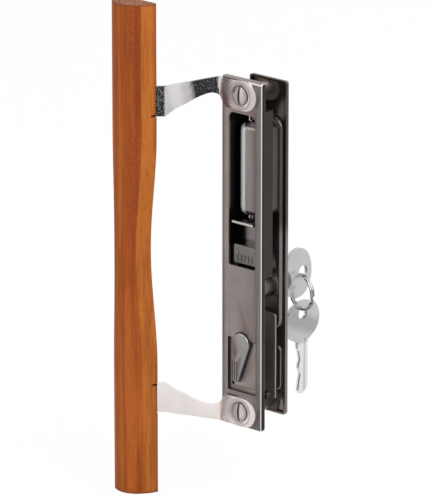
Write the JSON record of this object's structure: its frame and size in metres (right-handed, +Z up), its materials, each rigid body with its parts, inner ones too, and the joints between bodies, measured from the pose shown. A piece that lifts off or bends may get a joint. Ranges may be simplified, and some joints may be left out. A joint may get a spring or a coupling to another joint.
{
  "type": "sliding patio door handle",
  "caption": "Sliding patio door handle with a bowed wooden pull on bent metal brackets, flush inside and outside plates, a thumb lever with hook lock, a key cylinder and keys on a split ring.",
  "frame": {"origin": "middle of the inside plate's rim plane, where it rests on the door stile", "axes": "+X to the right seen from the room, +Y through the door to the outside, +Z up"},
  "size_m": [0.0721, 0.0955, 0.2604],
  "materials": {
    "plate_satin": "soft bright plating on pressed steel, light wear",
    "plate_drawn": "polished plating on drawn steel, dull inside",
    "stained_wood": "red-brown stain with darker upright grain, satin varnish",
    "bright_chrome": "polished plating",
    "plain_steel": "plain bright steel",
    "zinc_steel": "zinc-plated sheet",
    "cast_zinc": "plated die casting with dull low areas",
    "brass_plug": "plain brass",
    "key_nickel": "nickel-plated, finely brushed",
    "ring_steel": "bright spring steel"
  },
  "bodies": {
    "base": {"interior_plate": "plate_satin", "exterior_plate": "plate_drawn", "wood_pull": "stained_wood", "upper_bracket": "bright_chrome", "lower_bracket": "bright_chrome", "upper_through_screw": "bright_chrome", "lower_through_screw": "bright_chrome", "upper_threaded_post": "plain_steel", "lower_threaded_post": "plain_steel", "upper_wood_screw": "plain_steel", "lower_wood_screw": "plain_steel", "lock_case": "zinc_steel", "slide_guide": "zinc_steel", "cylinder_body": "bright_chrome", "cylinder_clip": "plain_steel"},
    "lever": {"thumb_lever": "bright_chrome", "lever_spindle": "plain_steel", "spindle_clip": "plain_steel", "hook_bolt": "plain_steel", "crank_pin": "plain_steel", "torsion_spring": "plain_steel"},
    "slide": {"thumb_slide": "bright_chrome", "indicator_flag": "cast_zinc", "slide_link": "plain_steel", "link_rivet": "plain_steel"},
    "plug": {"cylinder_plug": "brass_plug", "wafer_tumblers": "brass_plug", "lock_cam": "plain_steel", "plug_clip": "plain_steel", "inserted_key": "key_nickel"},
    "ring": {"key_ring": "ring_steel"},
    "spare": {"spare_key": "key_nickel"}
  },
  "joints": [
    {"name": "lever_turn", "type": "hinge", "parent": "base", "child": "lever", "pos_m": [0, 0, -0.0475], "axis": [0, -1, 0], "range_deg": [0, 26]},
    {"name": "slide_travel", "type": "slide", "parent": "base", "child": "slide", "axis": [0, 0, 1], "range_m": [-0.0045, 0]},
    {"name": "key_turn", "type": "hinge", "parent": "base", "child": "plug", "pos_m": [0.0012, 0, -0.0199], "axis": [0, 1, 0], "range_deg": [0, 90]},
    {"name": "ring_swing", "type": "hinge", "parent": "plug", "child": "ring", "pos_m": [0.0012, 0.0433, -0.02195], "axis": [1, 0, 0], "range_deg": [-10, 25]},
    {"name": "spare_swing", "type": "hinge", "parent": "ring", "child": "spare", "pos_m": [0.0012, 0.0433, -0.04055], "axis": [1, 0, 0], "range_deg": [-10, 25]}
  ],
  "couplings": [
    {"joint": "slide_travel", "follows": "lever_turn", "m_per_rad": -0.0099144}
  ]
}
